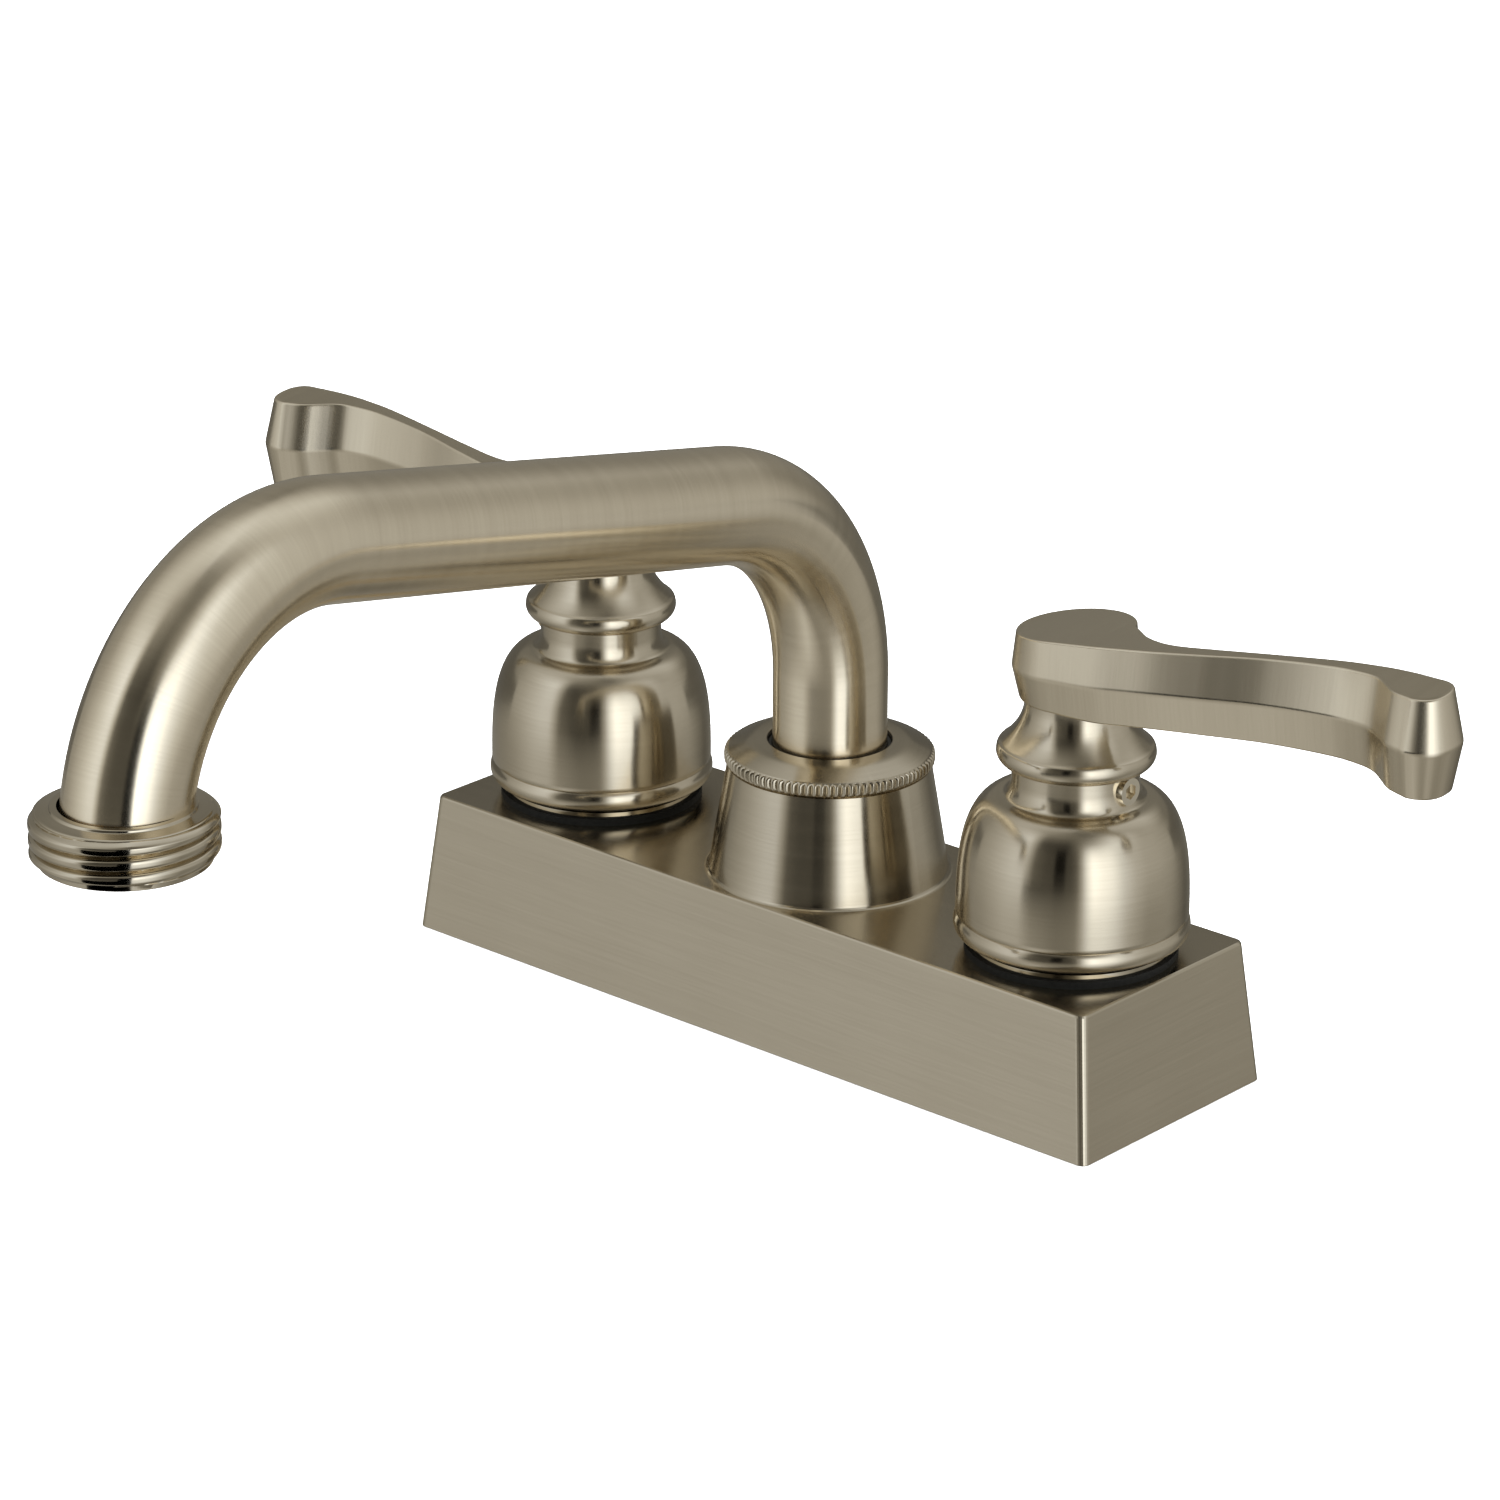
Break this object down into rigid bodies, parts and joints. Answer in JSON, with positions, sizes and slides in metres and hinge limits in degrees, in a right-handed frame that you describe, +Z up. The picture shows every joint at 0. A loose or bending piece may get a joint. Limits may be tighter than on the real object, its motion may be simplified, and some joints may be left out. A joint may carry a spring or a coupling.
{
  "type": "utility sink faucet",
  "caption": "Deck-mounted utility sink faucet in satin nickel with bell hubs, scroll levers on quarter-turn valves and a swing spout that ends in a male hose thread.",
  "frame": {"origin": "centre of the base's underside, on the deck, midway between the two shanks", "axes": "+Z up from the deck, X through both handles, spout to -Y"},
  "size_m": [0.2385, 0.1986, 0.1703],
  "materials": {
    "satin_nickel": "brushed satin nickel plate",
    "bright_nickel": "polished nickel plate",
    "brass": "machined brass",
    "ceramic": "lapped alumina",
    "black_rubber": "moulded rubber",
    "white_plastic": "moulded acetal"
  },
  "bodies": {
    "base": {"base_cover": "satin_nickel", "deck_gasket": "black_rubber", "spout_socket": "brass", "spout_nut": "satin_nickel", "left_valve_body": "brass", "right_valve_body": "brass", "left_cross_tube": "brass", "right_cross_tube": "brass", "left_cartridge_shell": "brass", "right_cartridge_shell": "brass", "left_seat_seal": "black_rubber", "right_seat_seal": "black_rubber", "left_fixed_disc": "ceramic", "right_fixed_disc": "ceramic", "left_cover_washer": "black_rubber", "right_cover_washer": "black_rubber", "left_cover_nut": "bright_nickel", "right_cover_nut": "bright_nickel"},
    "left_handle": {"left_turning_disc": "ceramic", "left_stem": "brass", "left_stem_orings": "black_rubber", "left_stem_clip": "bright_nickel", "left_hub": "satin_nickel", "left_set_screw": "bright_nickel", "left_lever_stud": "bright_nickel", "left_lever": "satin_nickel"},
    "right_handle": {"right_turning_disc": "ceramic", "right_stem": "brass", "right_stem_orings": "black_rubber", "right_stem_clip": "bright_nickel", "right_hub": "satin_nickel", "right_set_screw": "bright_nickel", "right_lever_stud": "bright_nickel", "right_lever": "satin_nickel"},
    "spout": {"spout_tube": "satin_nickel", "hose_end": "bright_nickel", "swivel_sleeve": "white_plastic", "spout_orings": "black_rubber"}
  },
  "joints": [
    {"name": "left_handle_turn", "type": "hinge", "parent": "base", "child": "left_handle", "pos_m": [-0.0508, 0, 0.05], "axis": [0, 0, 1], "range_deg": [0, 90]},
    {"name": "right_handle_turn", "type": "hinge", "parent": "base", "child": "right_handle", "pos_m": [0.0508, 0, 0.05], "axis": [0, 0, 1], "range_deg": [-90, 0]},
    {"name": "spout_swivel", "type": "hinge", "parent": "base", "child": "spout", "pos_m": [0, 0, 0.04], "axis": [0, 0, 1], "continuous": true}
  ]
}
